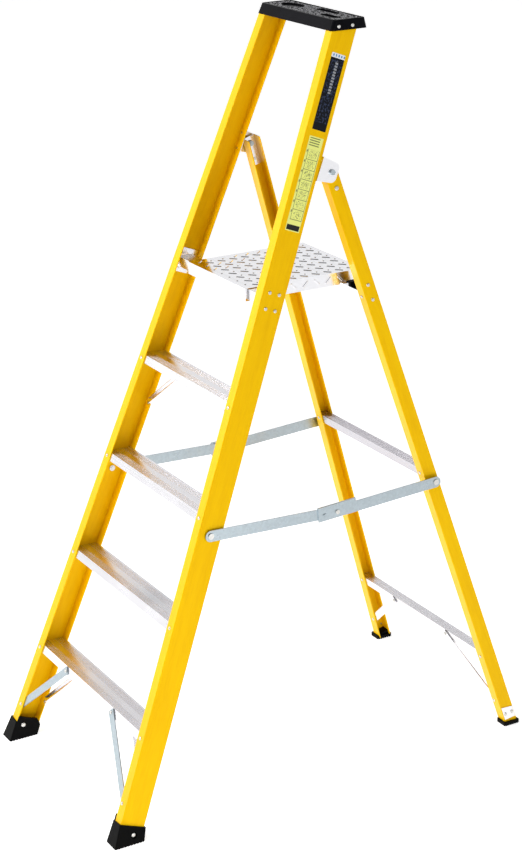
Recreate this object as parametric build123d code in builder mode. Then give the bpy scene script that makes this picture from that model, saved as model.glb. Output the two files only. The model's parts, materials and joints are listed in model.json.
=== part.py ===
from build123d import *
from math import atan, cos, radians, sin, tan
import os

os.makedirs("parts", exist_ok=True)

# Driving dimensions, millimetres. X is the width, -Y the climbing side, Z up.
step_pitch = 305.0
tread_count = 4
platform_top = 1522.0

front_lean = radians(21.2)
rear_lean = radians(16.8)
front_half_width = 396.8
rear_half_width = 389.0
front_taper = atan(0.076)
rear_taper = atan(0.077)
wall = 4.0
stile_depth = 79.0
stile_flange = 36.0
leg_depth = 43.5
leg_flange = 38.0

depth_over_feet = 1435.4
boot_overhang = 5.4
rear_setback = 1383.2
front_y = boot_overhang - depth_over_feet / 2
rear_y = front_y + rear_setback

cap_bottom = 2253.0
cap_top = 2284.0
cap_width = 434.0
cap_front = front_y + 869.0
cap_rear = front_y + 993.0

rivet_head = 5.5
boot_rivet_head = 7.5
plate_rivet_head = 7.0
tail_share = 0.72
rivet_shank = 2.4
rivet_hole = 2.5
pin_radius = 5.0
pin_hole = 5.05

# Pivots: rear frame hinge, platform pin and spreader joints, as slope and depth positions.
hinge_s, hinge_n = 1925.0, 21.0
platform_pin_s, platform_pin_n = 1624.0, 40.0
spreader_front_s, spreader_front_n = 930.0, 40.0
spreader_rear_s, spreader_rear_n = 887.0, 24.8
front_link_length = 425.0
link_sag = 18.0
link_width = 34.0
link_gauge = 3.0
link_inner_x = 329.0

# Directions in the two leaning frames: up the slope, and back through the depth.
right = Vector(1, 0, 0)
front_up = Vector(0, sin(front_lean), cos(front_lean))
front_back = Vector(0, cos(front_lean), -sin(front_lean))
rear_up = Vector(0, -sin(rear_lean), cos(rear_lean))
rear_back = Vector(0, cos(rear_lean), sin(rear_lean))
stile_along = front_up * cos(front_taper) - right * sin(front_taper)
stile_out = right * cos(front_taper) + front_up * sin(front_taper)
leg_along = rear_up * cos(rear_taper) - right * sin(rear_taper)
leg_out = right * cos(rear_taper) + rear_up * sin(rear_taper)


def front_point(x, s, n):
    """Point of the climbing frame: s up the slope, n back from its front face."""
    return Vector(x, front_y, 0) + front_up * s + front_back * n


def rear_point(x, s, n):
    """Point of the rear frame: s up the slope, n back from its front face."""
    return Vector(x, rear_y, 0) + rear_up * s + rear_back * n


def stile_x(s):
    """Outer face of the right stile."""
    return front_half_width - s * tan(front_taper)


def leg_x(s):
    """Outer face of the right rear leg."""
    return rear_half_width - s * tan(rear_taper)


def stile_web(s, n, inset=0.0):
    """Plane on the right stile's side wall, facing out, sunk by the inset."""
    return Plane(front_point(stile_x(s), s, n) - stile_out * inset, stile_along, stile_out)


def leg_web(s, n, inset=0.0):
    """Plane on the right rear leg's side wall, facing out, sunk by the inset."""
    return Plane(rear_point(leg_x(s), s, n) - leg_out * inset, leg_along, leg_out)


def front_frame_face(x, s, n=0.0):
    """Plane across the climbing frame, facing the climber."""
    return Plane(front_point(x, s, n), right, -front_back)


def front_frame_back(x, s, n=stile_depth):
    """Plane across the climbing frame, facing back."""
    return Plane(front_point(x, s, n), right, front_back)


def rear_frame_face(x, s, n=0.0):
    """Plane across the rear frame, facing the climber."""
    return Plane(rear_point(x, s, n), right, -rear_back)


def rear_frame_back(x, s, n=leg_depth):
    """Plane across the rear frame, facing back."""
    return Plane(rear_point(x, s, n), right, rear_back)


def side_plane(x, y, z):
    """Plane facing +X with its own x along +Y."""
    return Plane((x, y, z), (0, 1, 0), (1, 0, 0))


def flipped(plane):
    """The plane on the other side of the ladder."""
    o, x, z = plane.origin, plane.x_dir, plane.z_dir
    return Plane((-o.X, o.Y, o.Z), (-x.X, x.Y, x.Z), (-z.X, z.Y, z.Z))


def both(planes):
    """Planes on the right side and their mirror images."""
    return planes + [flipped(p) for p in planes]


def save(piece, name):
    """Label the part and write its STEP file."""
    piece.part.label = name
    export_step(piece.part, "parts/" + name + ".step")


def save_pair(piece, stem):
    """Write the right-hand part and its mirrored left-hand twin."""
    save(piece, stem + "_right")
    with BuildPart() as twin:
        mirror(piece.part, about=Plane.YZ)
    save(twin, stem + "_left")


def rivet_form(grip, head):
    """Domed rivet: head above the plane, shank through the grip, upset tail below it."""
    crown = 0.5 * head
    base = (Align.CENTER, Align.CENTER, Align.MIN)
    with BuildPart() as piece:
        Cylinder(head, crown, align=base)
        fillet(piece.edges().sort_by(Axis.Z)[-1], 0.8 * crown)
        with Locations((0, 0, -grip)):
            Cylinder(rivet_shank, grip, align=base)
        with Locations((0, 0, -grip - 1.6)):
            Cylinder(tail_share * head, 1.6, align=base)
    return piece.part


def rivets_at(groups):
    """Rivets on several sets of planes: (grip, head radius, planes) each."""
    with BuildPart() as fasteners:
        for grip, head, planes in groups:
            form = rivet_form(grip, head)
            with Locations(*planes):
                add(form)
    return fasteners


def channel_outline(depth, flange, plane):
    """Channel with its side wall outside and both flanges turned in."""
    with BuildSketch(plane) as outline:
        with BuildLine():
            FilletPolyline((0, 0), (0, depth), (-flange, depth), (-flange, depth - wall),
                           (-wall, depth - wall), (-wall, wall), (-flange, wall), (-flange, 0),
                           radius=1.4, close=True)
        make_face()
    return outline.sketch


def top_profile(width, drop, gauge, lean, ribs, rib_pitch=3.0):
    """Cross-section of an extruded step: ribbed top with two skirts that lean with the frame."""
    slope = tan(lean)
    leaf = gauge / cos(abs(lean))
    points = [(0, 0)]
    for start, count in ribs:
        for k in range(count):
            at = start + k * rib_pitch
            points += [(at, 0), (at + 0.5, -1.1), (at + 1.5, -1.1), (at + 2.0, 0)]
    points += [(width, 0), (width - drop * slope, -drop), (width - drop * slope - leaf, -drop)]
    under = 1.1 + gauge
    points += [(width - under * slope - leaf, -under), (leaf - under * slope, -under)]
    points += [(leaf - drop * slope, -drop), (-drop * slope, -drop)]
    return points


def bar_between(p, q, facing, width, overrun):
    """Flat bar with square ends from p to q; p and q lie on the face that looks along 'facing'."""
    along = (q - p).normalized()
    across = along.cross(facing).normalized()
    normal = across.cross(along).normalized()
    plane = Plane((p + q) * 0.5, along, normal)
    with BuildSketch(plane) as outline:
        Rectangle((q - p).length + 2 * overrun, width)
        fillet(outline.vertices(), 3.0)
        with Locations(((q - p).length / 2, 0), (-(q - p).length / 2, 0)):
            Circle(rivet_hole + 0.3, mode=Mode.SUBTRACT)
    return outline.sketch, plane


def along_slope(top_z, n, lean):
    """Slope position at which a leaning face reaches the height top_z."""
    return (top_z + n * sin(lean)) / cos(lean)


# Rivet positions on the right-hand side, shared by the pieces they join.
tread_s = [along_slope(step_pitch * (i + 1), 0, front_lean) for i in range(tread_count)]
tread_face_planes = [front_frame_face(stile_x(s) - 18, s - 11) for s in tread_s]
tread_back_planes = [front_frame_back(stile_x(s) - 18, s + 17) for s in tread_s]
bracket_planes = [stile_web(s, n) for s in (1600.0, 1648.0) for n in (24.0, 57.0)]
hinge_base_planes = [front_frame_back(226.0, s, stile_depth + wall) for s in (2004.0, 2053.0)]
boot_side_plane = stile_web(43.0, 47.0, -3.0)
boot_insert_plane = Plane(stile_web(62.0, 22.0, 42.5).origin, stile_along, -stile_out)
cap_planes = [side_plane(cap_width / 2 - 1.1, front_y + y, 2265.0) for y in (895.0, 941.0)]

crossbar_top = 1473.0
crossbar_s = along_slope(crossbar_top, -wall, rear_lean)
crossbar_seat = rear_point(0, crossbar_s, wall)
rung_s = {"rear_rung_mid": 935.0, "rear_rung_low": 266.0}
rung_face_planes = [rear_frame_face(leg_x(s) - 19, s - 14) for s in list(rung_s.values()) + [crossbar_s]]
rung_back_planes = [rear_frame_back(leg_x(s) - 19, s - 25) for s in list(rung_s.values()) + [crossbar_s]]
gusset_planes = [leg_web(1557.7, 21.0), leg_web(1509.0, 21.0)]
gusset_top_planes = [Plane((leg_x(crossbar_s) - 34, crossbar_seat.Y + 19.9, crossbar_top))]
leg_plate_planes = [leg_web(1872.0, 22.0)]
foot_plate_planes = [leg_web(36.7, 9.8), leg_web(33.0, 34.0)]

hinge = rear_point(0, hinge_s, hinge_n)
spreader_front = front_point(0, spreader_front_s, spreader_front_n)
spreader_rear = rear_point(0, spreader_rear_s, spreader_rear_n)
platform_pin = front_point(0, platform_pin_s, platform_pin_n)

# Braces: right-hand end points on the frame's flange and on the step's skirt, with the face they lie on.
tread_brace_front = (front_point(364, 121, 4.2), front_point(160, tread_s[0] - 13, 0.7))
tread_brace_rear = (front_point(352, 142, 74.8), front_point(150, tread_s[0] + 11, 72.8))
upper_brace = (front_point(283, 1163, 74.8), front_point(112, tread_s[3] + 11, 72.8))
rear_brace = (rear_point(357, 83, 4.2), rear_point(152, 251, 0.5))

front_brace_planes = [Plane(front_point(tread_brace_front[0].X, 121, 0), right, -front_back),
                      Plane(tread_brace_front[1] - front_back * 0.1, right, -front_back)]
back_brace_planes = [Plane(front_point(352, 142, stile_depth), right, front_back),
                     Plane(front_point(283, 1163, stile_depth), right, front_back),
                     Plane(front_point(150, tread_s[0] + 11, 75), right, front_back),
                     Plane(front_point(112, tread_s[3] + 11, 75), right, front_back)]
rear_brace_planes = [Plane(rear_point(357, 83, 0), right, -rear_back),
                     Plane(rear_brace[1] - rear_back * 0.1, right, -rear_back)]

# Stiles: channels cut level above the boot sole and under the cap.
sole = 12.0
stile_top = 2275.0
with BuildPart() as stile:
    extrude(channel_outline(stile_depth, stile_flange,
                            Plane(front_point(stile_x(0), 0, 0), stile_out, stile_along)), amount=2520)
    split(bisect_by=Plane.XY.offset(sole), keep=Keep.TOP)
    split(bisect_by=Plane.XY.offset(stile_top), keep=Keep.BOTTOM)
    with Locations(*tread_face_planes, *tread_back_planes, *hinge_base_planes, *bracket_planes, *cap_planes,
                   boot_side_plane, front_brace_planes[0], *back_brace_planes[:2]):
        Cylinder(rivet_hole, 24, mode=Mode.SUBTRACT)
    with Locations(side_plane(stile_x(spreader_front_s), spreader_front.Y, spreader_front.Z)):
        Cylinder(pin_hole, 30, mode=Mode.SUBTRACT)
save_pair(stile, "front_stile")

# Rear legs: channels cut level above the foot pad and square at the top.
pad_seat = 5.0
with BuildPart() as leg:
    extrude(channel_outline(leg_depth, leg_flange,
                            Plane(rear_point(leg_x(-20), -20, 0), leg_out, leg_along)), amount=1972)
    split(bisect_by=Plane.XY.offset(pad_seat), keep=Keep.TOP)
    with Locations(*rung_face_planes, *rung_back_planes, *gusset_planes, *leg_plate_planes,
                   *foot_plate_planes, rear_brace_planes[0]):
        Cylinder(rivet_hole, 20, mode=Mode.SUBTRACT)
    for point, x in ((hinge, leg_x(hinge_s)), (spreader_rear, leg_x(spreader_rear_s))):
        with Locations(side_plane(x, point.Y, point.Z)):
            Cylinder(pin_hole, 30, mode=Mode.SUBTRACT)
save_pair(leg, "rear_leg")

# Treads: ribbed extrusions whose skirts sit behind the stile flanges.
tread_width = (stile_depth - 2 * wall) / cos(front_lean)
tread_end = Plane(front_point(stile_x(0), 0, 0) - stile_out * (wall + 0.5), stile_along, stile_out)
for i in range(tread_count):
    level = step_pitch * (i + 1)
    seat = front_point(0, along_slope(level, wall, front_lean), wall)
    with BuildPart() as tread:
        with BuildSketch(side_plane(-390, seat.Y, seat.Z)):
            Polygon(*top_profile(tread_width, 23, 2.0, front_lean, [(2.5, 8), (46.5, 8)]), align=None)
        extrude(amount=780)
        split(bisect_by=tread_end, keep=Keep.BOTTOM)
        split(bisect_by=flipped(tread_end), keep=Keep.BOTTOM)
        with Locations(*both([tread_face_planes[i], tread_back_planes[i]])):
            Cylinder(rivet_hole, 20, mode=Mode.SUBTRACT)
        if i == 0:
            with Locations(*both([front_brace_planes[1], back_brace_planes[2]])):
                Cylinder(rivet_hole, 16, mode=Mode.SUBTRACT)
        if i == 3:
            with Locations(*both([back_brace_planes[3]])):
                Cylinder(rivet_hole, 16, mode=Mode.SUBTRACT)
    save(tread, "tread_" + str(i + 1))

# Rear rungs and the crossbar under the platform.
rung_width = (leg_depth - 2 * wall) / cos(rear_lean)
rung_end = Plane(rear_point(leg_x(0), 0, 0) - leg_out * (wall + 0.5), leg_along, leg_out)
for name, s in rung_s.items():
    seat = rear_point(0, s, wall)
    with BuildPart() as rung:
        with BuildSketch(side_plane(-390, seat.Y, seat.Z)):
            Polygon(*top_profile(rung_width, 29, 2.0, -rear_lean, [(2.5, 11)]), align=None)
        extrude(amount=780)
        split(bisect_by=rung_end, keep=Keep.BOTTOM)
        split(bisect_by=flipped(rung_end), keep=Keep.BOTTOM)
        with Locations(*both(rung_face_planes[:2] + rung_back_planes[:2])):
            Cylinder(rivet_hole, 20, mode=Mode.SUBTRACT)
        if name == "rear_rung_low":
            with Locations(*both([rear_brace_planes[1]])):
                Cylinder(rivet_hole, 16, mode=Mode.SUBTRACT)
    save(rung, name)

gusset_gauge = 3.0
crossbar_end = Plane(rung_end.origin - leg_out * gusset_gauge, leg_along, leg_out)
with BuildPart() as crossbar:
    with BuildSketch(side_plane(-390, crossbar_seat.Y, crossbar_seat.Z)):
        Polygon(*top_profile(rung_width, 36, 2.4, -rear_lean, []), align=None)
    extrude(amount=780)
    split(bisect_by=crossbar_end, keep=Keep.BOTTOM)
    split(bisect_by=flipped(crossbar_end), keep=Keep.BOTTOM)
    with Locations(*both(rung_face_planes[2:] + rung_back_planes[2:] + gusset_top_planes)):
        Cylinder(rivet_hole, 20, mode=Mode.SUBTRACT)
save(crossbar, "rear_crossbar")

# Gussets: a plate on the leg's inner side and a shelf under the crossbar's top.
shelf_top = crossbar_top - 3.5
with BuildPart() as gusset:
    with BuildSketch(leg_web(1527, leg_depth / 2, wall)):
        Rectangle(92, 33)
    extrude(amount=-gusset_gauge)
    with Locations((leg_x(crossbar_s) - 36, crossbar_seat.Y + 19.9, shelf_top - gusset_gauge / 2)):
        Box(60, 28, gusset_gauge)
    split(bisect_by=Plane(rung_end.origin + leg_out * 0.5, leg_along, leg_out), keep=Keep.BOTTOM)
    with Locations(*gusset_planes, *gusset_top_planes):
        Cylinder(rivet_hole, 30, mode=Mode.SUBTRACT)
save_pair(gusset, "crossbar_gusset")


def brace(ends, facing, width, gauge, overrun, lip=0.0):
    """Diagonal brace: a flat bar, folded up along both edges when it has a lip."""
    p, q = ends
    outline, plane = bar_between(p, q, facing, width, overrun)
    with BuildPart() as bar:
        extrude(outline, amount=-gauge)
        if lip:
            reach = (q - p).length - 26
            with BuildSketch(plane.offset(-gauge)):
                with Locations((0, width / 2 - 0.8), (0, 0.8 - width / 2)):
                    Rectangle(reach, 1.6)
            extrude(amount=-lip)
    return bar


save_pair(brace(tread_brace_front, -front_back, 25, 3.0, 8.0), "tread_brace_front")
save_pair(brace(tread_brace_rear, front_back, 18, 2.0, 6.0, 7.0), "tread_brace_rear")
save_pair(brace(upper_brace, front_back, 18, 2.0, 6.0, 7.0), "upper_brace")
save_pair(brace(rear_brace, -rear_back, 25, 3.0, 8.0), "rear_brace")

# Boots: flared moulded shoes with a sole below the stile and an insert inside it.
boot_x = (349.0, 411.0)
boot_side_grip = wall + 3.0
boot_insert_grip = 5.0
with BuildPart() as boot:
    with BuildSketch(Plane.XY):
        with Locations(((boot_x[0] + boot_x[1]) / 2, front_y + 42.15)):
            RectangleRounded(boot_x[1] - boot_x[0], 95.1, 5)
    with BuildSketch(Plane(front_point(stile_x(68), 68, 0), stile_out, stile_along)):
        with Locations((-18.5, stile_depth / 2)):
            RectangleRounded(48.0, stile_depth + 9, 5)
    loft()
    with BuildSketch(Plane(front_point(stile_x(45), 45, 0), stile_out, stile_along)):
        with Locations((-40, stile_depth / 2)):
            Rectangle(5, stile_depth)
    extrude(amount=42)
    cross_edges = boot.edges().filter_by(lambda e: abs(e.tangent_at(0.5).X) > 0.9)
    chamfer(cross_edges.sort_by(Axis.Z)[-4:].sort_by(Axis.Y)[-1], 14)
    add(stile.part, mode=Mode.SUBTRACT)
    with Locations(boot_side_plane):
        Cylinder(boot_rivet_head + 1.5, 30, align=(Align.CENTER, Align.CENTER, Align.MIN), mode=Mode.SUBTRACT)
        Cylinder(rivet_hole, 40, mode=Mode.SUBTRACT)
    with Locations(boot_insert_plane):
        Cylinder(boot_rivet_head + 0.5, 3, align=(Align.CENTER, Align.CENTER, Align.MIN), mode=Mode.SUBTRACT)
        Cylinder(rivet_hole, 16, mode=Mode.SUBTRACT)
    with Locations(boot_side_plane.offset(-boot_side_grip), boot_insert_plane.offset(-boot_insert_grip)):
        Cylinder(tail_share * boot_rivet_head + 0.4, 3,
                 align=(Align.CENTER, Align.CENTER, Align.MAX), mode=Mode.SUBTRACT)
    for k in range(9):
        with Locations((380, front_y + 3 + 10 * k, 0)):
            Box(70, 3, 3, mode=Mode.SUBTRACT)
save_pair(boot, "front_boot")

# Rear foot pads with ribbed soles and a short plug inside the leg.
with BuildPart() as pad:
    with Locations((374, front_y + 1402, 6)):
        Box(46, 56, 12)
    fillet(pad.edges().filter_by(Axis.Z), 5)
    with BuildSketch(Plane(rear_point(leg_x(4), 4, 0), leg_out, leg_along)):
        with Locations((-18, leg_depth / 2)):
            Rectangle(28, leg_depth - 2 * wall)
    extrude(amount=14)
    split(bisect_by=Plane.XY, keep=Keep.TOP)
    add(leg.part, mode=Mode.SUBTRACT)
    for k in range(7):
        with Locations((374, front_y + 1378 + 8 * k, 0)):
            Box(60, 3.4, 5, mode=Mode.SUBTRACT)
save_pair(pad, "rear_foot_pad")

with BuildPart() as foot_plate:
    with BuildSketch(leg_web(0, 0)):
        Polygon((63, -2), (50, -41), (13, -41), (19, -2), align=None)
    extrude(amount=2.0)
    with Locations(*foot_plate_planes):
        Cylinder(rivet_hole, 16, mode=Mode.SUBTRACT)
save_pair(foot_plate, "rear_foot_plate")

# Stiffening plates inside the legs' upper ends.
with BuildPart() as leg_plate:
    with BuildSketch(leg_web(1899, leg_depth / 2, wall)):
        RectangleRounded(98, 34, 4)
    extrude(amount=-3.0)
    with Locations(*leg_plate_planes):
        Cylinder(rivet_hole, 30, mode=Mode.SUBTRACT)
    with Locations(side_plane(leg_x(hinge_s), hinge.Y, hinge.Z)):
        Cylinder(pin_hole, 30, mode=Mode.SUBTRACT)
save_pair(leg_plate, "leg_plate")

# Hinge brackets: a base on the stile's rear flange and a rounded ear beside the leg.
ear_x = 243.8
ear_points = [front_point(0, 1993, stile_depth), front_point(0, 2066, stile_depth),
              front_point(0, 2058, 141), front_point(0, 2001, 141)]
with BuildPart() as hinge_bracket:
    with BuildSketch(front_frame_back(ear_x + wall - 17.5, 2029.5)):
        Rectangle(35, 73)
    extrude(amount=wall)
    with BuildSketch(side_plane(ear_x, hinge.Y, hinge.Z)) as ear:
        Polygon(*[((p - hinge).Y, (p - hinge).Z) for p in ear_points], align=None)
        fillet(ear.vertices().sort_by(Axis((0, 0, 0), (cos(front_lean), -sin(front_lean), 0)))[-2:], 17)
    extrude(amount=wall)
    with Locations(*hinge_base_planes):
        Cylinder(rivet_hole, 20, mode=Mode.SUBTRACT)
    with Locations(side_plane(ear_x, hinge.Y, hinge.Z)):
        Cylinder(pin_hole, 30, mode=Mode.SUBTRACT)
save_pair(hinge_bracket, "hinge_bracket")

with BuildPart() as hinge_bolts:
    with BuildSketch(side_plane(0, hinge.Y, hinge.Z)):
        Circle(pin_radius)
    extrude(amount=ear_x + 8, dir=(1, 0, 0))
    split(bisect_by=Plane.YZ.offset(225), keep=Keep.TOP)
    with BuildSketch(side_plane(ear_x + wall + 0.1, hinge.Y, hinge.Z)):
        RegularPolygon(9, 6)
    extrude(amount=6.4)
    with BuildSketch(side_plane(226.5, hinge.Y, hinge.Z)):
        RegularPolygon(9, 6)
    extrude(amount=5)
    with BuildSketch(side_plane(241.6, hinge.Y, hinge.Z)):
        Circle(9)
    extrude(amount=2)
    mirror(about=Plane.YZ)
save(hinge_bolts, "hinge_bolts")

# Platform brackets: base plate on the stile, angle arm reaching in, ear that carries the pin.
arm_y = (front_y + 598.0, front_y + 640.0)
arm_z = (1488.0, 1520.0)
pin_ear_x = 181.0
with BuildPart() as platform_bracket:
    with Locations(((pin_ear_x + 290) / 2, (arm_y[0] + arm_y[1]) / 2, arm_z[1] - wall / 2)):
        Box(290 - pin_ear_x, arm_y[1] - arm_y[0], wall)
    with Locations(((pin_ear_x + 290) / 2, arm_y[0] + wall / 2, (arm_z[0] + arm_z[1]) / 2)):
        Box(290 - pin_ear_x, wall, arm_z[1] - arm_z[0])
    with Locations((pin_ear_x + wall / 2, (arm_y[0] + arm_y[1]) / 2, (arm_z[0] + arm_z[1]) / 2)):
        Box(wall, arm_y[1] - arm_y[0], arm_z[1] - arm_z[0])
    with BuildSketch(stile_web(1626, 40.5, wall)):
        RectangleRounded(78, 59, 4)
    extrude(amount=-wall)
    split(bisect_by=stile_web(1626, 40, wall), keep=Keep.BOTTOM)
    with Locations(*bracket_planes):
        Cylinder(rivet_hole, 30, mode=Mode.SUBTRACT)
    with Locations(side_plane(pin_ear_x, platform_pin.Y, platform_pin.Z)):
        Cylinder(pin_hole, 30, mode=Mode.SUBTRACT)
save_pair(platform_bracket, "platform_bracket")

# Platform: chequer plate with skirts on the front and both sides.
platform_half = 178.5
platform_front = front_y + 590.0
platform_rear = front_y + 996.0
skirt = 38.0
skin = 3.0
bar_pitch_x, bar_pitch_y = 47.7, 40.6
bar_length, bar_width = 27.0, 6.4
bar_rise, skirt_bar_rise = 1.5, 1.0
bar_slope = 50.0
platform_mid = (platform_front + platform_rear) / 2
with BuildPart() as platform:
    with Locations((0, platform_mid, platform_top - skin / 2)):
        Box(2 * platform_half, platform_rear - platform_front, skin)
    with Locations((0, platform_front + skin / 2, platform_top - skirt / 2)):
        Box(2 * platform_half, skin, skirt)
    for side in (-1, 1):
        with Locations((side * (platform_half - skin / 2), platform_mid - 5, platform_top - skirt / 2)):
            Box(skin, platform_rear - platform_front - 10, skirt)
    for turn, side, rows in ((45, 1, 9), (-45, -1, 10)):
        with BuildSketch(Plane((side * bar_pitch_x / 4, platform_mid + 8.6, platform_top))):
            with GridLocations(bar_pitch_x, bar_pitch_y, 7, rows):
                SlotOverall(bar_length, bar_width, rotation=turn)
        extrude(amount=bar_rise, taper=bar_slope)
    for k in range(7):
        for side in (-1, 1):
            plane = Plane((side * platform_half, platform_front + 82 + 40 * k, platform_top - 19),
                          (0, side, 0), (side, 0, 0))
            with BuildSketch(plane):
                SlotOverall(bar_length, bar_width, rotation=45 if k % 2 else -45)
            extrude(amount=skirt_bar_rise, taper=bar_slope)
    with BuildSketch(Plane((0, platform_front, platform_top - 19), (1, 0, 0), (0, -1, 0))):
        with GridLocations(80, 1, 5, 1):
            SlotOverall(bar_length, bar_width, rotation=45)
        with GridLocations(80, 1, 4, 1):
            SlotOverall(bar_length, bar_width, rotation=-45)
    extrude(amount=skirt_bar_rise, taper=bar_slope)
    with Locations(*both([side_plane(platform_half, platform_pin.Y, platform_pin.Z)])):
        Cylinder(pin_hole, 20, mode=Mode.SUBTRACT)
save(platform, "platform_plate")

with BuildPart() as platform_pins:
    for start, length, radius in ((171.5, 19, pin_radius), (171.5, 3.4, 8), (185.2, 3, 8)):
        with BuildSketch(side_plane(start, platform_pin.Y, platform_pin.Z)):
            Circle(radius)
        extrude(amount=length)
    mirror(about=Plane.YZ)
save(platform_pins, "platform_pivot_pins")

# Rubber stops on the platform that rest on the crossbar.
stop_y = rear_point(0, crossbar_s, 21).Y
with BuildPart() as stops:
    with Locations((platform_half + 5.5, stop_y, crossbar_top + 8)):
        Box(11, 36, 16)
    fillet(stops.edges().filter_by(Axis.X), 4)
    with Locations(side_plane(platform_half + 11, stop_y - 6, crossbar_top + 8)):
        Cylinder(5.5, 5, align=(Align.CENTER, Align.CENTER, Align.MIN))
    mirror(about=Plane.YZ)
save(stops, "platform_stops")

# Spreaders: two flat links each side, joined by a pin, locked straight by a folded lip.
to_rear = spreader_rear - spreader_front
chord = to_rear.length
chord_up = Vector(0, -to_rear.Z, to_rear.Y).normalized()
reach_y = (front_link_length ** 2 - link_sag ** 2) ** 0.5
middle = spreader_front + to_rear.normalized() * reach_y - chord_up * link_sag
rear_link_length = (spreader_rear - middle).length
front_link_along = (middle - spreader_front).normalized()
rear_link_along = (spreader_rear - middle).normalized()
mid_pin_radius = 4.0
mid_pin_hole = 4.05
lip_low, lip_high = 24.0, 27.0
overlap = 66.0

front_link_plane = Plane((link_inner_x, spreader_front.Y, spreader_front.Z), front_link_along, right)
with BuildPart() as front_link:
    with BuildSketch(front_link_plane):
        with Locations((front_link_length / 2, 0)):
            SlotCenterToCenter(front_link_length, link_width)
        Circle(pin_hole, mode=Mode.SUBTRACT)
        with Locations((front_link_length, 0)):
            Circle(mid_pin_hole, mode=Mode.SUBTRACT)
    extrude(amount=link_gauge)
save_pair(front_link, "spreader_front_link")

rear_link_x = link_inner_x + link_gauge + 0.3
rear_link_plane = Plane((rear_link_x, middle.Y, middle.Z), rear_link_along, right)
with BuildPart() as rear_link:
    with BuildSketch(rear_link_plane):
        with Locations((rear_link_length / 2, 0)):
            SlotCenterToCenter(rear_link_length, link_width)
        with Locations((0, (lip_high - link_width / 2) / 2)):
            Rectangle(2 * overlap, lip_high + link_width / 2)
        Circle(mid_pin_hole, mode=Mode.SUBTRACT)
        with Locations((rear_link_length, 0)):
            Circle(pin_hole, mode=Mode.SUBTRACT)
    extrude(amount=link_gauge)
    with BuildSketch(rear_link_plane):
        with Locations((0, (lip_low + lip_high) / 2)):
            Rectangle(2 * overlap, lip_high - lip_low)
    extrude(amount=-link_gauge - 0.3)
    with BuildSketch(rear_link_plane.offset(link_gauge)):
        with Locations((-43, 0)):
            Circle(6)
    extrude(amount=2.4)
save_pair(rear_link, "spreader_rear_link")

with BuildPart() as mid_pin:
    for start, length, radius in ((link_inner_x - 2.6, 2.4, 7), (link_inner_x - 2.6, 12, mid_pin_radius),
                                  (rear_link_x + link_gauge + 0.3, 2.6, 7)):
        with BuildSketch(side_plane(start, middle.Y, middle.Z)):
            Circle(radius)
        extrude(amount=length)
save_pair(mid_pin, "spreader_mid_pin")

with BuildPart() as rear_pin:
    for start, length, radius in ((324.0, rear_link_x - 324.0 - 0.1, 8), (324.0, 14, pin_radius),
                                  (rear_link_x + link_gauge + 0.1, 2.8, 9)):
        with BuildSketch(side_plane(start, spreader_rear.Y, spreader_rear.Z)):
            Circle(radius)
        extrude(amount=length)
save_pair(rear_pin, "spreader_rear_pin")

with BuildPart() as pivot_pins:
    for start, length, radius in ((317.0, 18, pin_radius), (318.4, 2.8, 9), (327.1, 1.6, 9),
                                  (link_inner_x + link_gauge + 0.3, 3.0, 9)):
        with BuildSketch(side_plane(start, spreader_front.Y, spreader_front.Z)):
            Circle(radius)
        extrude(amount=length)
    mirror(about=Plane.YZ)
save(pivot_pins, "spreader_pivot_pins")

# Top cap: shallow moulded tray with a skirt, tool recesses and a raised rim.
cap_mid = (cap_front + cap_rear) / 2
cap_depth = cap_rear - cap_front
cap_taper = 19.0
cap_shift = 3.5
with BuildPart() as cap:
    with BuildSketch(Plane.XY.offset(cap_bottom)):
        with Locations((0, cap_mid)):
            RectangleRounded(cap_width, cap_depth, 12)
    with BuildSketch(Plane.XY.offset(cap_top)):
        with Locations((0, cap_mid + cap_shift)):
            RectangleRounded(cap_width - 6, cap_depth - cap_taper, 12)
    loft()
    fillet(cap.faces().sort_by(Axis.Z)[-1].edges(), 2.5)
    with BuildSketch(Plane.XY.offset(cap_bottom)):
        with Locations((0, cap_mid)):
            RectangleRounded(cap_width - 8, cap_depth - 8, 9)
    with BuildSketch(Plane.XY.offset(cap_top - 9)):
        with Locations((0, cap_mid + cap_shift * 0.7)):
            RectangleRounded(cap_width - 13, cap_depth - 8 - cap_taper * 0.7, 9)
    loft(mode=Mode.SUBTRACT)
    with BuildSketch(Plane.XY.offset(cap_top)):
        with Locations((0, cap_mid + cap_shift)):
            RectangleRounded(cap_width - 22, cap_depth - cap_taper - 14, 8)
    extrude(amount=-1.2, mode=Mode.SUBTRACT)
    with BuildSketch(Plane.XY.offset(cap_top - 1.2)):
        with Locations((-118, cap_mid + cap_shift + 4)):
            Ellipse(52, 26)
        with Locations((52, cap_mid + cap_shift + 26)):
            SlotOverall(120, 22)
        with Locations((132, cap_mid + cap_shift - 16)):
            SlotOverall(92, 24)
    extrude(amount=-5, mode=Mode.SUBTRACT)
    add(stile.part, mode=Mode.SUBTRACT)
    mirror(stile.part, about=Plane.YZ, mode=Mode.SUBTRACT)
    with Locations(*both(cap_planes)):
        Cylinder(rivet_head + 0.4, 3, align=(Align.CENTER, Align.CENTER, Align.MIN), mode=Mode.SUBTRACT)
        Cylinder(rivet_hole, 24, mode=Mode.SUBTRACT)
save(cap, "top_cap")

# Labels on the right stile.
for name, start, end, low, high in (("label_rating", 2133.5, 2361.6, 19, 66),
                                    ("label_instructions", 1834.0, 2114.6, 18, 67)):
    with BuildPart() as label:
        with BuildSketch(stile_web((start + end) / 2, (low + high) / 2)):
            RectangleRounded(end - start, high - low, 2)
        extrude(amount=0.4)
    save(label, name)

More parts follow.
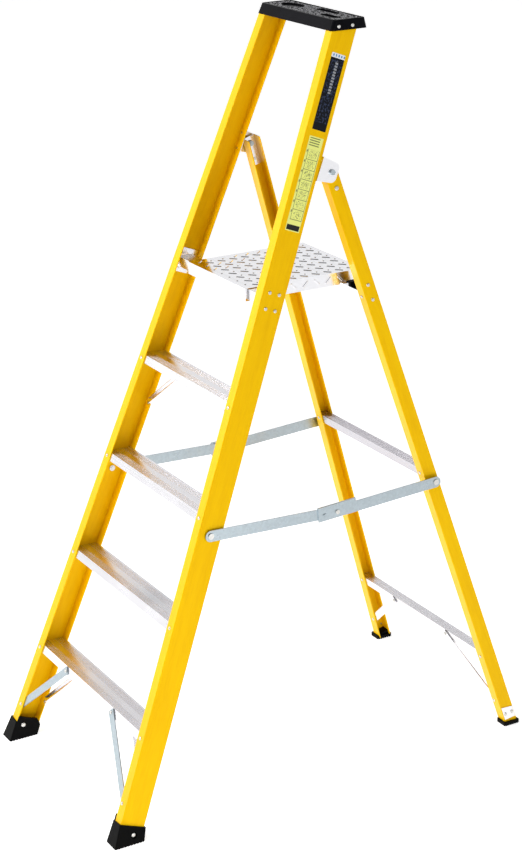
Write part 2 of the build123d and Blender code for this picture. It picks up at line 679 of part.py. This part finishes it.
# Rivets, one group for each joint family.
foot_rivet_planes = [Plane(p.origin + leg_out * 2, p.x_dir, p.z_dir) for p in foot_plate_planes]
save(rivets_at([(2 * wall - 2, rivet_head, both(tread_face_planes + tread_back_planes))]), "tread_rivets")
save(rivets_at([(2 * wall, rivet_head, both(bracket_planes))]), "platform_bracket_rivets")
save(rivets_at([(2 * wall, rivet_head, both(hinge_base_planes))]), "hinge_rivets")
save(rivets_at([(boot_side_grip, boot_rivet_head, both([boot_side_plane])),
                (boot_insert_grip, boot_rivet_head, both([boot_insert_plane]))]), "boot_rivets")
save(rivets_at([(9.0, rivet_head, both(cap_planes[:1])),
                (10.2, rivet_head, both(cap_planes[1:]))]), "cap_rivets")
save(rivets_at([(wall + 3.3, rivet_head, both(front_brace_planes[:1])),
                (5.6, rivet_head, both(front_brace_planes[1:])),
                (wall + 2.3, rivet_head, both(back_brace_planes[:2])),
                (4.3, rivet_head, both(back_brace_planes[2:]))]), "brace_rivets")
save(rivets_at([(wall + 3.3, rivet_head, both(rear_brace_planes[:1])),
                (5.8, rivet_head, both(rear_brace_planes[1:])),
                (wall + 2.4, rivet_head, both(rung_face_planes + rung_back_planes)),
                (6.6, rivet_head, both(gusset_top_planes))]), "rung_rivets")
save(rivets_at([(wall + gusset_gauge, rivet_head, both(gusset_planes)),
                (wall + 3, plate_rivet_head, both(leg_plate_planes)),
                (wall + 2, rivet_head, both(foot_rivet_planes))]), "leg_rivets")
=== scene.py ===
import json
from math import atan, cos, radians, sin

import bmesh
import bpy
from mathutils import Matrix, Vector


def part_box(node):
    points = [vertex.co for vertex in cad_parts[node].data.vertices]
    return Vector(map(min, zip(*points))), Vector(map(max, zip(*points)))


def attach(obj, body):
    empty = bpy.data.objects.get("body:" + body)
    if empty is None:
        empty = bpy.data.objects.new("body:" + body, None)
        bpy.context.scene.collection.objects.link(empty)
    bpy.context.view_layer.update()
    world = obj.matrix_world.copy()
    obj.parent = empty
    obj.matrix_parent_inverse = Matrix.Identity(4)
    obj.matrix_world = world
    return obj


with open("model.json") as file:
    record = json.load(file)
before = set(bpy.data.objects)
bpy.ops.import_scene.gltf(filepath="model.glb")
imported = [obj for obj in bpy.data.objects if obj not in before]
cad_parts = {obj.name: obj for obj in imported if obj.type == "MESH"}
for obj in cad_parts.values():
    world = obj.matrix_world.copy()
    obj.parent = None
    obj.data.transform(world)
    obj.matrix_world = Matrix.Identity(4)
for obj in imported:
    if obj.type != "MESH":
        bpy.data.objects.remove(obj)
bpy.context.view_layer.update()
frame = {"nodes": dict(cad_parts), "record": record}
nodes = frame["nodes"]

FRONT_LEAN = radians(21.2)
REAR_LEAN = radians(16.8)
FRONT_UP = Vector((0, sin(FRONT_LEAN), cos(FRONT_LEAN)))
FRONT_BACK = Vector((0, cos(FRONT_LEAN), -sin(FRONT_LEAN)))
REAR_UP = Vector((0, -sin(REAR_LEAN), cos(REAR_LEAN)))
REAR_BACK = Vector((0, cos(REAR_LEAN), sin(REAR_LEAN)))
STILE_TAPER = atan(0.076)
STILE_ALONG = FRONT_UP * cos(STILE_TAPER) - Vector((1, 0, 0)) * sin(STILE_TAPER)
RIGHT_WEB_X = 0.3968
OVERALL_DEPTH = 1.4354
FRONT_FOOT_Y = 0.0054 - OVERALL_DEPTH / 2

# Labels: start and end up the stile, then the two edges across its web.
RATING_SPAN = (2.1335, 2.3616, 0.019, 0.066)
INSTRUCTION_SPAN = (1.834, 2.1146, 0.018, 0.067)

# Top cap: the sunk panel and its recesses, which the grip pattern leaves free.
CAP_LOW, CAP_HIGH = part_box("top_cap")
CAP_PANEL = CAP_HIGH[2] - 0.0012
GRIP_HEIGHT, GRIP_PITCH, GRIP_SUNK = 0.0010, 0.0050, 0.0002
GRIP_MARGIN_X, GRIP_MARGIN_Y, RECESS_MARGIN = 0.013, 0.0185, 0.003
ROUND_RECESS = 0.02
CAP_CENTRE_Y = (CAP_LOW[1] + CAP_HIGH[1]) / 2 + 0.0035
# Each recess: centre across, centre along, half width, half depth.
RECESSES = ((-0.118, 0.004, 0.052, 0.026), (0.052, 0.026, 0.060, 0.011), (0.132, -0.016, 0.046, 0.012))


class Look:
    """A procedural material, built node by node around one Principled shader."""

    def __init__(self, name):
        self.material = bpy.data.materials.new(name)
        self.material.use_nodes = True
        self.tree = self.material.node_tree
        self.shader = self.tree.nodes["Principled BSDF"]
        self.place = self.tree.nodes.new("ShaderNodeTexCoord").outputs["Object"]

    def link(self, value, socket):
        if isinstance(value, bpy.types.NodeSocket):
            self.tree.links.new(value, socket)
        else:
            socket.default_value = value

    def set(self, **values):
        for key, value in values.items():
            self.link(value, self.shader.inputs[key.replace("_", " ")])
        return self

    def math(self, operation, a, b=0.0):
        node = self.tree.nodes.new("ShaderNodeMath")
        node.operation = operation
        for value, socket in zip((a, b), node.inputs):
            self.link(value, socket)
        return node.outputs[0]

    def split(self, vector):
        node = self.tree.nodes.new("ShaderNodeSeparateXYZ")
        self.link(vector, node.inputs[0])
        return node.outputs

    def join(self, x, y, z):
        node = self.tree.nodes.new("ShaderNodeCombineXYZ")
        for value, socket in zip((x, y, z), node.inputs):
            self.link(value, socket)
        return node.outputs[0]

    def dot(self, vector, direction):
        node = self.tree.nodes.new("ShaderNodeVectorMath")
        node.operation = "DOT_PRODUCT"
        self.link(vector, node.inputs[0])
        node.inputs[1].default_value = direction
        return node.outputs["Value"]

    def mirrored(self):
        """Object coordinates with both sides of the ladder folded together."""
        x, y, z = self.split(self.place)
        return self.join(self.math("ABSOLUTE", x), y, z)

    def noise(self, vector, scale=1.0, detail=3.0, rough=0.5):
        node = self.tree.nodes.new("ShaderNodeTexNoise")
        self.link(vector, node.inputs["Vector"])
        node.inputs["Scale"].default_value = scale
        node.inputs["Detail"].default_value = detail
        node.inputs["Roughness"].default_value = rough
        return node.outputs["Fac"]

    def cells(self, vector, scale):
        """A random colour for each cell of a Voronoi pattern."""
        node = self.tree.nodes.new("ShaderNodeTexVoronoi")
        self.link(vector, node.inputs["Vector"])
        node.inputs["Scale"].default_value = scale
        return node.outputs["Color"]

    def ramp(self, value, *stops):
        node = self.tree.nodes.new("ShaderNodeValToRGB")
        self.link(value, node.inputs[0])
        elements = node.color_ramp.elements
        while len(elements) < len(stops):
            elements.new(0.5)
        for element, (at, colour) in zip(elements, stops):
            element.position = at
            element.color = (*colour, 1)
        return node.outputs[0]

    def span(self, value, low, high, to_low, to_high):
        node = self.tree.nodes.new("ShaderNodeMapRange")
        for item, socket in zip((value, low, high, to_low, to_high), node.inputs):
            self.link(item, socket)
        return node.outputs[0]

    def mix(self, factor, a, b):
        node = self.tree.nodes.new("ShaderNodeMix")
        node.data_type = "RGBA"
        self.link(factor, node.inputs[0])
        colour_a, colour_b = node.inputs[6:8]
        for value, socket in ((a, colour_a), (b, colour_b)):
            self.link((*value, 1) if isinstance(value, tuple) else value, socket)
        return node.outputs[2]

    def bump(self, height, strength, distance):
        node = self.tree.nodes.new("ShaderNodeBump")
        self.link(height, node.inputs["Height"])
        node.inputs["Strength"].default_value = strength
        node.inputs["Distance"].default_value = distance
        self.link(node.outputs[0], self.shader.inputs["Normal"])
        return self


def fibreglass(name, up, back):
    """Pultruded yellow fibreglass: fine lengthwise strands under a glossy veil."""
    look = Look(name)
    p = look.mirrored()
    along, side, depth = look.dot(p, up), look.split(p)[0], look.dot(p, back)
    strands = look.noise(look.join(look.math("MULTIPLY", along, 3.0), look.math("MULTIPLY", side, 260.0),
                                   look.math("MULTIPLY", depth, 260.0)), 1.0, 3.0, 0.6)
    bands = look.noise(look.join(look.math("MULTIPLY", along, 0.8), look.math("MULTIPLY", side, 40.0),
                                 look.math("MULTIPLY", depth, 40.0)), 1.0, 2.0)
    cloud = look.noise(p, 5.0, 2.0)
    tone = look.math("ADD", look.math("MULTIPLY", strands, 0.45),
                     look.math("ADD", look.math("MULTIPLY", bands, 0.35), look.math("MULTIPLY", cloud, 0.2)))
    colour = look.ramp(tone, (0.30, (0.84, 0.455, 0.0)), (0.5, (0.90, 0.52, 0.0)), (0.72, (0.94, 0.58, 0.0)))
    look.set(Base_Color=colour, Roughness=look.span(bands, 0.3, 0.7, 0.30, 0.42), IOR=1.5,
             Specular_IOR_Level=0.4, Specular_Tint=(1.0, 0.72, 0.06, 1.0))
    return look.bump(strands, 0.25, 0.0003)


def aluminium(name, tint, rough_low, rough_high, grain, bump):
    """Extruded or rolled aluminium with fine lines across the width."""
    look = Look(name)
    x, y, z = look.split(look.place)
    lines = look.noise(look.join(look.math("MULTIPLY", x, 2.0), look.math("MULTIPLY", y, grain),
                                 look.math("MULTIPLY", z, grain)), 1.0, 4.0, 0.65)
    cloud = look.noise(look.place, 9.0, 3.0)
    dark = tuple(c * 0.86 for c in tint)
    look.set(Base_Color=look.mix(look.span(lines, 0.3, 0.7, 0.0, 1.0), dark, tint), Metallic=1.0,
             Roughness=look.span(look.math("ADD", lines, cloud), 0.7, 1.3, rough_low, rough_high))
    return look.bump(lines, bump, 0.0002)


def galvanised(name, tint):
    """Zinc-plated steel: faint spangle and cloudy roughness."""
    look = Look(name)
    spangle = look.cells(look.place, 160.0)
    cloud = look.noise(look.place, 24.0, 4.0)
    shade = look.math("ADD", look.math("MULTIPLY", look.split(spangle)[0], 0.5),
                      look.math("MULTIPLY", cloud, 0.5))
    look.set(Base_Color=look.mix(shade, tuple(c * 0.8 for c in tint), tint), Metallic=1.0,
             Roughness=look.span(cloud, 0.3, 0.7, 0.26, 0.44))
    return look.bump(cloud, 0.12, 0.0004)


def moulded(name, colour, rough, scale, strength, depth):
    """Black moulded plastic or rubber with a fine pebbled grain."""
    look = Look(name)
    grain = look.noise(look.place, scale, 3.0, 0.6)
    dust = look.noise(look.place, 14.0, 4.0)
    dusty = tuple(c * 1.6 for c in colour)
    look.set(Base_Color=look.mix(look.span(dust, 0.35, 0.75, 0.0, 1.0), colour, dusty),
             Roughness=look.span(dust, 0.3, 0.7, rough - 0.06, rough + 0.08),
             IOR=1.4, Specular_IOR_Level=0.05)
    return look.bump(grain, strength, depth)


def rivet_steel(name):
    """Brushed steel for rivet heads, bolts and pins."""
    look = Look(name)
    brushed = look.noise(look.place, 420.0, 3.0)
    look.set(Base_Color=look.mix(brushed, (0.50, 0.49, 0.46), (0.80, 0.79, 0.76)), Metallic=1.0,
             Roughness=look.span(brushed, 0.3, 0.7, 0.2, 0.36))
    return look.bump(brushed, 0.1, 0.0002)


def label_coordinates(look, start, end, low, high):
    """Label space: 0 to 1 up its length, 0 to 1 across its width."""
    origin = Vector((RIGHT_WEB_X, FRONT_FOOT_Y, 0))
    s = look.math("SUBTRACT", look.dot(look.place, STILE_ALONG), origin.dot(STILE_ALONG))
    n = look.math("SUBTRACT", look.dot(look.place, FRONT_BACK), origin.dot(FRONT_BACK))
    slope = 1.0 / cos(STILE_TAPER)
    return (look.span(s, start * slope, end * slope, 0.0, 1.0), look.span(n, low, high, 0.0, 1.0))


def inside(look, value, low, high):
    """1 where the value lies between low and high, 0 elsewhere."""
    return look.math("MULTIPLY", look.math("GREATER_THAN", value, low), look.math("LESS_THAN", value, high))


def rating_label():
    """Dark label: a pale header strip over near-black, with quiet blue-grey blocks."""
    look = Look("dark_label")
    u, v = label_coordinates(look, *RATING_SPAN)
    header = look.math("GREATER_THAN", u, 0.94)
    ticks = look.math("MULTIPLY", inside(look, u, 0.955, 0.985),
                      look.math("GREATER_THAN", look.math("FRACT", look.math("MULTIPLY", v, 5.0)), 0.5))
    blocks = look.join(look.math("MULTIPLY", u, 34.0), look.math("MULTIPLY", v, 9.0), 0.0)
    motif = look.noise(blocks, 1.0, 2.0)
    field = look.math("MULTIPLY", inside(look, u, 0.10, 0.92), inside(look, v, 0.06, 0.94))
    sheen = look.math("MULTIPLY", look.math("GREATER_THAN", motif, 0.55), field)
    dash = look.math("GREATER_THAN", look.math("FRACT", look.math("MULTIPLY", u, 26.0)), 0.35)
    strip = look.math("MULTIPLY", inside(look, u, 0.48, 0.90), inside(look, v, 0.42, 0.62))
    bar = look.math("MULTIPLY", strip, dash)
    base = look.mix(sheen, (0.004, 0.005, 0.009), (0.030, 0.042, 0.085))
    base = look.mix(look.math("MULTIPLY", bar, 0.7), base, (0.42, 0.44, 0.48))
    base = look.mix(header, base, (0.80, 0.84, 0.88))
    base = look.mix(ticks, base, (0.10, 0.26, 0.50))
    look.set(Base_Color=base, Roughness=0.24, IOR=1.5, Specular_IOR_Level=0.12)
    return look.bump(look.noise(look.place, 60.0, 2.0), 0.03, 0.0004)


def instruction_label():
    """Pale label: one column of ruled cells with small generic marks, and a dark foot strip."""
    look = Look("pale_label")
    u, v = label_coordinates(look, *INSTRUCTION_SPAN)
    row = look.math("FRACT", look.span(u, 0.12, 0.86, 0.0, 7.0))
    across = look.span(v, 0.17, 0.93, 0.0, 1.0)
    table = look.math("MULTIPLY", inside(look, u, 0.119, 0.861), inside(look, v, 0.14, 0.955))
    outside = look.math("LESS_THAN", inside(look, across, 0.0, 1.0), 0.5)
    ruled = look.math("MAXIMUM", look.math("LESS_THAN", row, 0.055), outside)
    scribble = look.join(look.math("MULTIPLY", u, 46.0), look.math("MULTIPLY", v, 8.0), 0.0)
    strokes = look.noise(scribble, 1.0, 2.0)
    marks = look.math("MULTIPLY", inside(look, strokes, 0.50, 0.545),
                      look.math("MULTIPLY", inside(look, row, 0.16, 0.90), inside(look, across, 0.12, 0.88)))
    margin = look.math("MULTIPLY", inside(look, v, 0.05, 0.12),
                       look.math("MULTIPLY", inside(look, row, 0.70, 0.92), inside(look, u, 0.12, 0.86)))
    heading = look.math("MULTIPLY", inside(look, u, 0.885, 0.985), inside(look, v, 0.08, 0.80))
    stripe = look.math("FRACT", look.span(u, 0.885, 0.985, 0.0, 4.0))
    lines = look.math("MULTIPLY", look.math("GREATER_THAN", stripe, 0.6), heading)
    ink = look.math("MAXIMUM", look.math("MULTIPLY", look.math("MAXIMUM", ruled, marks), table),
                    look.math("MAXIMUM", margin, lines))
    foot = look.math("MULTIPLY", inside(look, u, 0.012, 0.068), inside(look, v, 0.05, 0.95))
    base = look.mix(look.math("MULTIPLY", ink, 0.88), (0.84, 0.87, 0.24), (0.06, 0.08, 0.03))
    base = look.mix(foot, base, (0.012, 0.014, 0.012))
    look.set(Base_Color=base, Roughness=0.4, IOR=1.5, Specular_IOR_Level=0.2)
    return look.bump(look.noise(look.place, 60.0, 2.0), 0.03, 0.0004)


def knurled(name):
    """Grip pattern on the cap: black plastic, with painted highlights on its points."""
    look = Look(name)
    height = look.split(look.place)[2]
    glint_spots = look.span(look.noise(look.place, 120.0, 2.0, 0.6), 0.48, 0.53, 0.0, 1.0)
    tips = look.span(height, CAP_PANEL, CAP_PANEL + 0.2 * GRIP_HEIGHT, 0.0, 1.0)
    # Painted highlight: pale colour on random pyramid tips stands in for glints of light.
    pale = look.math("MULTIPLY", glint_spots, tips)
    look.set(Base_Color=look.mix(pale, (0.006, 0.006, 0.008), (0.88, 0.88, 0.92)),
             Roughness=look.span(glint_spots, 0.0, 1.0, 0.45, 0.3), IOR=1.5, Specular_IOR_Level=0.3)
    return look.bump(look.noise(look.place, 900.0, 2.0), 0.2, 0.0002)


LOOKS = {
    "front_glass": fibreglass("front_fibreglass", FRONT_UP, FRONT_BACK),
    "rear_glass": fibreglass("rear_fibreglass", REAR_UP, REAR_BACK),
    "ribbed_aluminium": aluminium("ribbed_aluminium", (0.90, 0.89, 0.92), 0.18, 0.30, 900.0, 0.12),
    # Darker copy of the ribbed aluminium: painted shade for the middle rear rung.
    "rung_aluminium_painted_shade": aluminium("rung_aluminium_painted_shade", (0.62, 0.60, 0.64), 0.20, 0.32, 900.0, 0.12),
    "sheet_aluminium": aluminium("sheet_aluminium", (0.90, 0.90, 0.93), 0.14, 0.26, 300.0, 0.06),
    "chequer_plate": aluminium("chequer_plate", (0.92, 0.92, 0.95), 0.09, 0.16, 160.0, 0.05),
    "galvanised_steel": galvanised("galvanised_steel", (0.47, 0.54, 0.58)),
    "rivet_steel": rivet_steel("rivet_steel"),
    "black_plastic": moulded("black_plastic", (0.0035, 0.0035, 0.0048), 0.30, 700.0, 0.35, 0.0005),
    "black_rubber": moulded("black_rubber", (0.0025, 0.0025, 0.0025), 0.36, 500.0, 0.3, 0.0005),
    "dark_label": rating_label(),
    "pale_label": instruction_label(),
    "cap_grip": knurled("cap_grip"),
}

slot_of = {s["node"]: s["material_slot"] for s in frame["record"]["subparts"]}
for name, obj in nodes.items():
    key = slot_of[name]
    if key == "fibreglass":
        key = "front_glass" if name.startswith("front") else "rear_glass"
    # The middle rear rung takes the darker copy, which is painted shade.
    if name == "rear_rung_mid":
        key = "rung_aluminium_painted_shade"
    if name.startswith("rear_brace"):
        key = "sheet_aluminium"
    obj.data.materials.clear()
    obj.data.materials.append(LOOKS[key].material)


def piece(name, mesh, look, body):
    """A visual piece that rides one body of the ladder."""
    obj = bpy.data.objects.new(name, mesh)
    bpy.context.scene.collection.objects.link(obj)
    obj.data.materials.append(LOOKS[look].material)
    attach(obj, body)
    return obj


def in_recess(x, y, margin):
    """True over a recess: every one has round ends, and the narrow ones have straight sides."""
    for cx, cy, rx, ry in RECESSES:
        if ((x - cx) / (rx + margin)) ** 2 + ((y - cy) / (ry + margin)) ** 2 < 1:
            return True
        if ry < ROUND_RECESS and abs(x - cx) < rx and abs(y - cy) < ry + margin:
            return True
    return False


def cap_grip():
    """Rows of low pyramids over the cap's sunk panel."""
    mesh = bmesh.new()
    half_x = (CAP_HIGH[0] - CAP_LOW[0]) / 2 - GRIP_MARGIN_X
    half_y = (CAP_HIGH[1] - CAP_LOW[1]) / 2 - GRIP_MARGIN_Y
    columns, rows = int(half_x / GRIP_PITCH), int(half_y / GRIP_PITCH)
    reach = 0.5 * GRIP_PITCH
    for i in range(-columns, columns + 1):
        for j in range(-rows, rows + 1):
            x, y = i * GRIP_PITCH, j * GRIP_PITCH
            if in_recess(x, y, RECESS_MARGIN):
                continue
            y += CAP_CENTRE_Y
            ring = [mesh.verts.new((x + a * reach, y + b * reach, CAP_PANEL - GRIP_SUNK))
                    for a, b in ((1, 0), (0, 1), (-1, 0), (0, -1))]
            tip = mesh.verts.new((x, y, CAP_PANEL + GRIP_HEIGHT))
            for k in range(4):
                mesh.faces.new((ring[k], ring[(k + 1) % 4], tip))
            mesh.faces.new(ring[::-1])
    data = bpy.data.meshes.new("cap_grip")
    mesh.to_mesh(data)
    mesh.free()
    return piece("cap_grip", data, "cap_grip", "front_frame")


cap_grip()

# Floor, studio light and camera.
FLOOR = 40
floor_mesh = bpy.data.meshes.new("studio_floor")
corners = [(-FLOOR, -FLOOR, 0), (FLOOR, -FLOOR, 0), (FLOOR, FLOOR, 0), (-FLOOR, FLOOR, 0)]
floor_mesh.from_pydata(corners, [], [(0, 1, 2, 3)])
floor = bpy.data.objects.new("studio_floor", floor_mesh)
bpy.context.scene.collection.objects.link(floor)
floor_look = Look("studio_floor")
floor_look.set(Base_Color=(0.97, 0.97, 0.97, 1), Roughness=0.9,
               Emission_Color=(1, 1, 1, 1), Emission_Strength=0.66)
floor.data.materials.append(floor_look.material)

# The world is dark overhead and pale at the sides, and dimmer towards the right.
SIDE_FALL = (-0.3, 0.6, 1.0, 0.48)
WALL_LEVELS = ((0.0, 0.9), (0.42, 0.95), (0.62, 0.35), (1.0, 0.15))
world = bpy.data.worlds.new("studio")
bpy.context.scene.world = world
world.use_nodes = True
sky = world.node_tree
direction = sky.nodes.new("ShaderNodeTexCoord")
heading = sky.nodes.new("ShaderNodeSeparateXYZ")
walls = sky.nodes.new("ShaderNodeValToRGB")
near_side = sky.nodes.new("ShaderNodeMapRange")
sky.links.new(direction.outputs["Generated"], heading.inputs[0])
sky.links.new(heading.outputs["Z"], walls.inputs[0])
sky.links.new(heading.outputs["X"], near_side.inputs[0])
for socket, value in zip(list(near_side.inputs)[1:5], SIDE_FALL):
    socket.default_value = value
sky.links.new(walls.outputs[0], sky.nodes["Background"].inputs["Color"])
sky.links.new(near_side.outputs[0], sky.nodes["Background"].inputs["Strength"])
walls.color_ramp.elements.new(0.5)
walls.color_ramp.elements.new(0.7)
for element, (at, level) in zip(walls.color_ramp.elements, WALL_LEVELS):
    element.position = at
    element.color = (level, level, level, 1)


def area_light(name, place, target, size, power):
    """A rectangular soft light, aimed at a point."""
    data = bpy.data.lights.new(name, "AREA")
    data.shape = "RECTANGLE"
    data.size, data.size_y = size
    data.energy = power
    lamp = bpy.data.objects.new(name, data)
    lamp.location = place
    lamp.rotation_euler = (Vector(target) - Vector(place)).to_track_quat("-Z", "Y").to_euler()
    bpy.context.scene.collection.objects.link(lamp)


area_light("key", (-3.5, -4.5, 3.2), (0, 0, 1.2), (3.0, 3.0), 100)
area_light("front", (0.25, -3.0, 2.6), (-0.3, -0.3, 1.3), (1.2, 1.2), 60)
area_light("low_side", (2.3, -0.7, 0.2), (0.39, -0.3, 0.2), (2.0, 0.6), 12)
area_light("high_side", (2.9, 0.6, 3.0), (0.0, 0.0, 2.1), (1.4, 1.4), 9)

CAMERA = Vector((5.4101, -3.0006, 3.2503))
LENS, SHIFT_X, SHIFT_Y = 90.02, -0.025, -0.2138
YAW, PITCH, ROLL = radians(60.13), radians(14.99), radians(-1.06)
forward = Vector((-sin(YAW) * cos(PITCH), cos(YAW) * cos(PITCH), -sin(PITCH)))
level_right = Vector((cos(YAW), sin(YAW), 0))
level_up = level_right.cross(forward)
cam_right = cos(ROLL) * level_right + sin(ROLL) * level_up
cam_up = -sin(ROLL) * level_right + cos(ROLL) * level_up
camera_data = bpy.data.cameras.new("camera")
camera = bpy.data.objects.new("camera", camera_data)
bpy.context.scene.collection.objects.link(camera)
camera.matrix_world = Matrix((
    (cam_right.x, cam_up.x, -forward.x, CAMERA.x),
    (cam_right.y, cam_up.y, -forward.y, CAMERA.y),
    (cam_right.z, cam_up.z, -forward.z, CAMERA.z),
    (0, 0, 0, 1)))
camera_data.sensor_width = 36
camera_data.sensor_fit = "AUTO"
camera_data.lens = LENS
camera_data.shift_x = SHIFT_X
camera_data.shift_y = SHIFT_Y
camera_data.clip_end = 200
bpy.context.scene.camera = camera
bpy.context.scene.view_settings.view_transform = "Standard"
